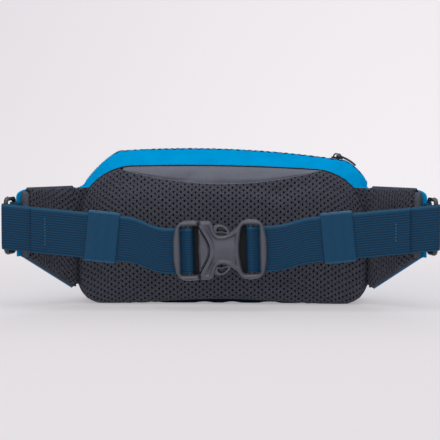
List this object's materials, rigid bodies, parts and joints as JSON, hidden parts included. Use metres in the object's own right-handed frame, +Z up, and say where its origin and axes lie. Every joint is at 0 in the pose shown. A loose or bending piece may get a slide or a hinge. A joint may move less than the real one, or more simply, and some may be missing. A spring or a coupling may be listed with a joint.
{
  "type": "waist pack",
  "caption": "Padded waist pack with an arched top zip, a zipped front pocket, hip wings with rings, and a webbing belt closed by a side-release buckle.",
  "frame": {"origin": "centre of the pack's outline on the ground: x = 0 is the middle of the back panel, y = 0 halfway from the belt to the front pocket's zip, z = 0 the flat base", "axes": "+X along the belt towards the closed main slider, +Y out of the bag's front, +Z up; the wearer is on the -Y side"},
  "size_m": [0.3648, 0.1308, 0.1338],
  "materials": {
    "spacer_mesh": "open knitted spacer mesh, charcoal",
    "pad_foam": "closed-cell foam, dark",
    "smooth_grey": "smooth woven lining cloth, matt grey",
    "hem_grey": "folded woven binding, grey",
    "bright_blue": "tightly woven nylon with a slight sheen, bright blue",
    "navy": "tightly woven nylon, dark blue",
    "webbing": "ribbed woven webbing, dark blue",
    "keeper_elastic": "satin elastic tape, dark blue",
    "lining": "thin woven lining, light grey",
    "zip_tape": "woven zip tape, dark blue",
    "zip_coil": "nylon coil, dark",
    "dark_metal": "black coated metal",
    "grey_plastic": "moulded acetal, charcoal grey, satin"
  },
  "bodies": {
    "pack": {"back_panel_cover": "spacer_mesh", "back_panel_foam": "pad_foam", "scoop_panel": "smooth_grey", "top_gusset": "bright_blue", "lower_gusset": "navy", "front_panel_lower": "navy", "front_pocket_panel": "bright_blue", "front_pocket_tape": "zip_tape", "front_pocket_coil": "zip_coil", "zip_tape_rear": "zip_tape", "zip_coil_rear": "zip_coil", "zip_garage_left": "navy", "zip_garage_right": "navy", "lining": "lining", "inner_pocket": "lining", "key_tether": "webbing", "key_hook": "grey_plastic", "strap_left": "webbing", "strap_right": "webbing", "buckle_female": "grey_plastic"},
    "mouth_flap": {"front_panel_upper": "bright_blue", "zip_tape_front": "zip_tape", "zip_coil_front": "zip_coil"},
    "main_slider": {"zip_slider": "dark_metal"},
    "main_pull": {"zip_pull": "dark_metal"},
    "pocket_slider": {"front_pocket_slider": "dark_metal"},
    "pocket_pull": {"front_pocket_pull": "dark_metal"},
    "male_half": {"buckle_male": "grey_plastic"},
    "upper_prong": {"prong_upper": "grey_plastic"},
    "lower_prong": {"prong_lower": "grey_plastic"},
    "left_keeper": {"keeper_left": "keeper_elastic"},
    "right_keeper": {"keeper_right": "keeper_elastic"},
    "left_wing": {"wing_mesh_left": "spacer_mesh", "wing_foam_left": "pad_foam", "wing_shell_left": "bright_blue", "wing_hem_left": "hem_grey", "wing_anchor_left": "webbing", "ring_left": "grey_plastic"},
    "right_wing": {"wing_mesh_right": "spacer_mesh", "wing_foam_right": "pad_foam", "wing_shell_right": "bright_blue", "wing_hem_right": "hem_grey", "wing_anchor_right": "webbing", "ring_right": "grey_plastic"}
  },
  "joints": [
    {"name": "zip_travel", "type": "hinge", "parent": "pack", "child": "main_slider", "pos_m": [-0.03, 0.04045, -0.767], "axis": [0, 1, 0], "range_deg": [-12, 0]},
    {"name": "zip_pull_swing", "type": "hinge", "parent": "main_slider", "child": "main_pull", "pos_m": [0.10049, 0.04045, 0.12693], "axis": [0, -1, 0], "range_deg": [0, 170]},
    {"name": "mouth_fold", "type": "hinge", "parent": "pack", "child": "mouth_flap", "pos_m": [0, 0.05541, 0.098], "axis": [-1, 0, 0], "range_deg": [0, 45], "deforming": ["zip_tape_front", "zip_coil_front"]},
    {"name": "pocket_zip_travel", "type": "slide", "parent": "pack", "child": "pocket_slider", "axis": [1, 0, 0], "range_m": [-0.142, 0]},
    {"name": "pocket_pull_swing", "type": "hinge", "parent": "pocket_slider", "child": "pocket_pull", "pos_m": [0.068, 0.0632, 0.07389], "axis": [0, 0.4104, -0.9119], "range_deg": [0, 170]},
    {"name": "buckle_release", "type": "slide", "parent": "pack", "child": "male_half", "axis": [-0.9996, 0, -0.0279], "range_m": [0, 0.03], "deforming": ["strap_left"]},
    {"name": "prong_upper_squeeze", "type": "hinge", "parent": "male_half", "child": "upper_prong", "pos_m": [-0.01216, -0.05945, 0.06467], "axis": [0, 1, 0], "range_deg": [0, 8], "stiffness_Nm_per_rad": 0.8},
    {"name": "prong_lower_squeeze", "type": "hinge", "parent": "male_half", "child": "lower_prong", "pos_m": [-0.01143, -0.05945, 0.03868], "axis": [0, -1, 0], "range_deg": [0, 8], "stiffness_Nm_per_rad": 0.8},
    {"name": "keeper_left_slide", "type": "slide", "parent": "pack", "child": "left_keeper", "axis": [-0.995, 0, 0.0995], "range_m": [-0.012, 0.012]},
    {"name": "keeper_right_slide", "type": "slide", "parent": "pack", "child": "right_keeper", "axis": [0.995, 0, 0.0995], "range_m": [-0.012, 0.012]},
    {"name": "wing_left_bend", "type": "hinge", "parent": "pack", "child": "left_wing", "pos_m": [-0.1285, -0.00445, 0.058], "axis": [0, 0, 1], "range_deg": [-15, 15], "stiffness_Nm_per_rad": 0.05, "deforming": ["strap_left"]},
    {"name": "wing_right_bend", "type": "hinge", "parent": "pack", "child": "right_wing", "pos_m": [0.1285, -0.00445, 0.058], "axis": [0, 0, 1], "range_deg": [-15, 15], "stiffness_Nm_per_rad": 0.05, "deforming": ["strap_right"]}
  ],
  "couplings": [
    {"joint": "mouth_fold", "follows": "zip_travel", "ratio": -3.75}
  ]
}
